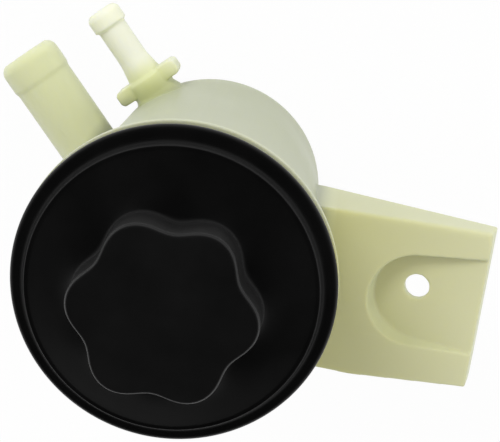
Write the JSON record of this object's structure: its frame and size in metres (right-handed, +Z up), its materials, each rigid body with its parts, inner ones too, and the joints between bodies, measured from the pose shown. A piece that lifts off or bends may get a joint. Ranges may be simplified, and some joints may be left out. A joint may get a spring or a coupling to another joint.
{
  "type": "power steering reservoir",
  "caption": "Translucent fluid tank with a lobed black screw cap, hose nipples and a side bracket, holding a spring-loaded pleated return filter.",
  "frame": {"origin": "centre of the tank's flat base, on the surface it stands on", "axes": "+Z up along the tank and cap axis, +X along the bracket, the nipples lie 132 degrees round from +X towards +Y"},
  "size_m": [0.1816, 0.1139, 0.1608],
  "materials": {
    "tank_plastic": "natural translucent polyamide, yellowish white, faint mould flow marks",
    "cap_plastic": "black moulded plastic, fine satin grain, polished edges",
    "rubber": "black oil-resistant rubber, matt",
    "felt": "grey felt",
    "zinc_plate": "pressed steel, yellow-clear zinc",
    "spring_steel": "drawn spring wire, bright",
    "filter_steel": "pressed tinplate",
    "filter_paper": "resin-treated pleated paper",
    "filter_card": "slotted card sleeve"
  },
  "bodies": {
    "tank": {"tank": "tank_plastic", "filter_spring": "spring_steel", "hold_down_plate": "zinc_plate", "bypass_cage": "zinc_plate", "bypass_spring": "spring_steel", "filter_top_plate": "filter_steel", "filter_core": "filter_steel", "filter_media": "filter_paper", "filter_sleeve": "filter_card", "filter_bottom_plate": "filter_steel", "filter_seal": "rubber"},
    "spring_seat": {"spring_washer": "zinc_plate"},
    "cap": {"cap": "cap_plastic", "cap_seal": "rubber", "vent_plate": "cap_plastic", "vent_valve": "rubber", "breather_pad": "felt", "dipstick": "cap_plastic"},
    "bypass_valve": {"bypass_disc": "cap_plastic"}
  },
  "joints": [
    {"name": "cap_lift", "type": "slide", "parent": "tank", "child": "spring_seat", "axis": [0, 0, 1], "range_m": [0, 0.012], "deforming": ["filter_spring"]},
    {"name": "cap_turn", "type": "hinge", "parent": "spring_seat", "child": "cap", "pos_m": [0, 0, 0.13], "axis": [0, 0, 1], "range_deg": [0, 720]},
    {"name": "bypass_travel", "type": "slide", "parent": "tank", "child": "bypass_valve", "axis": [0, 0, 1], "range_m": [0, 0.002], "deforming": ["bypass_spring"]}
  ],
  "couplings": [
    {"joint": "cap_lift", "follows": "cap_turn", "m_per_rad": 0.00095493}
  ]
}
